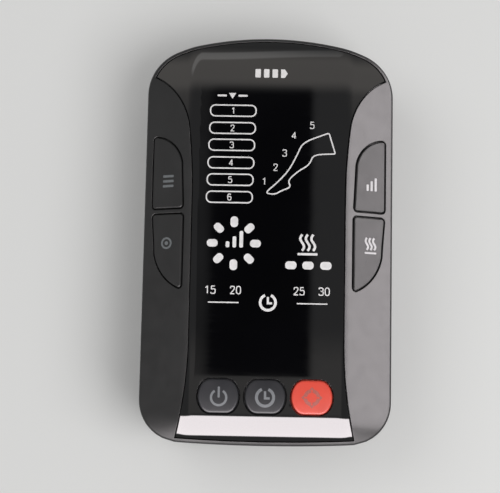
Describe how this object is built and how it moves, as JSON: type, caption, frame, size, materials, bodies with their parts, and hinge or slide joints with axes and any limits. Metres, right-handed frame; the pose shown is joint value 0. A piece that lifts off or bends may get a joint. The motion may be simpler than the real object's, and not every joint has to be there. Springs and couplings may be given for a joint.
{
  "type": "compression therapy pump",
  "caption": "Hand-held controller of a leg compression wrap: curved black panel with lit signs, side keys, round buttons, inner air pump and valves.",
  "frame": {"origin": "centre of the footprint, on the flat back", "axes": "+X to the right of the panel, +Y to the domed top end, +Z out of the panel"},
  "size_m": [0.096, 0.158, 0.042],
  "materials": {
    "casing_plastic": "fine satin texture, dark charcoal",
    "panel_gloss": "polished black window",
    "tape_black": "adhesive foam tape",
    "seal_rubber": "soft black rubber",
    "screw_steel": "zinc plated",
    "port_plastic": "moulded black",
    "ring_silicone": "red silicone",
    "contact_gold": "gold plated",
    "jack_plastic": "moulded black",
    "jack_metal": "nickel plated",
    "board_green": "solder mask",
    "led_white": "clear resin",
    "light_white": "white reflector plastic",
    "switch_metal": "tin plated cover",
    "chip_black": "moulded resin",
    "plug_white": "natural nylon",
    "cell_wrap": "shrink wrapped cell",
    "cradle_black": "moulded",
    "motor_steel": "zinc plated can",
    "bush_bronze": "sintered bronze",
    "magnet_dark": "ferrite",
    "copper_wound": "wound core",
    "pump_plastic": "natural acetal",
    "film_rubber": "moulded diaphragm rubber",
    "hose_clear": "clear silicone hose",
    "ribbon_grey": "flat cable",
    "key_plastic": "satin charcoal",
    "button_red": "satin coral red",
    "stem_black": "moulded nylon"
  },
  "bodies": {
    "casing": {"front_shell": "casing_plastic", "rear_shell": "casing_plastic", "face_panel": "panel_gloss", "panel_tape": "tape_black", "seam_gasket": "seal_rubber", "case_screws": "screw_steel", "air_port_block": "port_plastic", "port_o_rings": "ring_silicone", "heater_contact_pins": "contact_gold", "charge_jack_body": "jack_plastic", "charge_jack_pin": "jack_metal", "display_board": "board_green", "display_leds": "led_white", "light_box": "light_white", "switch_cases": "switch_metal", "key_boards": "board_green", "main_board": "board_green", "board_chips": "chip_black", "board_connectors": "plug_white", "battery_cells": "cell_wrap", "battery_cradle": "cradle_black", "motor_can": "motor_steel", "motor_end_cap": "chip_black", "motor_bushes": "bush_bronze", "motor_magnets": "magnet_dark", "pump_frame": "pump_plastic", "wobble_plate": "pump_plastic", "pump_diaphragm": "film_rubber", "pump_valve_plate": "pump_plastic", "pump_head": "pump_plastic", "pump_screws": "screw_steel", "pump_sleeve": "seal_rubber", "supply_hose": "hose_clear", "air_manifold": "pump_plastic", "valve_yokes": "motor_steel", "valve_coils": "copper_wound", "ribbon_cable": "ribbon_grey"},
    "mode_key": {"mode_key": "key_plastic", "mode_stem": "stem_black"},
    "part_key": {"part_key": "key_plastic", "part_stem": "stem_black"},
    "level_key": {"level_key": "key_plastic", "level_stem": "stem_black"},
    "heat_key": {"heat_key": "key_plastic", "heat_stem": "stem_black"},
    "power_button": {"power_button": "key_plastic", "power_stem": "stem_black"},
    "timer_button": {"timer_button": "key_plastic", "timer_stem": "stem_black"},
    "start_button": {"start_button": "button_red", "start_stem": "stem_black"},
    "motor_rotor": {"motor_shaft": "screw_steel", "motor_core": "copper_wound", "crank_disc": "pump_plastic"},
    "valve_rod_1": {"valve_rod_1": "motor_steel"},
    "valve_rod_2": {"valve_rod_2": "motor_steel"},
    "valve_rod_3": {"valve_rod_3": "motor_steel"},
    "valve_rod_4": {"valve_rod_4": "motor_steel"},
    "valve_rod_5": {"valve_rod_5": "motor_steel"}
  },
  "joints": [
    {"name": "mode_key_press", "type": "slide", "parent": "casing", "child": "mode_key", "axis": [0.4067, 0, -0.9135], "range_m": [0, 0.00065], "stiffness_N_per_m": 2500},
    {"name": "part_key_press", "type": "slide", "parent": "casing", "child": "part_key", "axis": [0.4067, 0, -0.9135], "range_m": [0, 0.00065], "stiffness_N_per_m": 2500},
    {"name": "level_key_press", "type": "slide", "parent": "casing", "child": "level_key", "axis": [-0.4067, 0, -0.9135], "range_m": [0, 0.00065], "stiffness_N_per_m": 2500},
    {"name": "heat_key_press", "type": "slide", "parent": "casing", "child": "heat_key", "axis": [-0.4067, 0, -0.9135], "range_m": [0, 0.00065], "stiffness_N_per_m": 2500},
    {"name": "power_button_press", "type": "slide", "parent": "casing", "child": "power_button", "axis": [0, 0, -1], "range_m": [0, 0.00065], "stiffness_N_per_m": 2500},
    {"name": "timer_button_press", "type": "slide", "parent": "casing", "child": "timer_button", "axis": [0, 0, -1], "range_m": [0, 0.00065], "stiffness_N_per_m": 2500},
    {"name": "start_button_press", "type": "slide", "parent": "casing", "child": "start_button", "axis": [0, 0, -1], "range_m": [0, 0.00065], "stiffness_N_per_m": 2500},
    {"name": "motor_spin", "type": "hinge", "parent": "casing", "child": "motor_rotor", "pos_m": [-0.027, 0, 0.015], "axis": [0, 1, 0], "continuous": true},
    {"name": "valve_lift_1", "type": "slide", "parent": "casing", "child": "valve_rod_1", "axis": [0, 0, 1], "range_m": [0, 0.0008], "stiffness_N_per_m": 300},
    {"name": "valve_lift_2", "type": "slide", "parent": "casing", "child": "valve_rod_2", "axis": [0, 0, 1], "range_m": [0, 0.0008], "stiffness_N_per_m": 300},
    {"name": "valve_lift_3", "type": "slide", "parent": "casing", "child": "valve_rod_3", "axis": [0, 0, 1], "range_m": [0, 0.0008], "stiffness_N_per_m": 300},
    {"name": "valve_lift_4", "type": "slide", "parent": "casing", "child": "valve_rod_4", "axis": [0, 0, 1], "range_m": [0, 0.0008], "stiffness_N_per_m": 300},
    {"name": "valve_lift_5", "type": "slide", "parent": "casing", "child": "valve_rod_5", "axis": [0, 0, 1], "range_m": [0, 0.0008], "stiffness_N_per_m": 300}
  ]
}
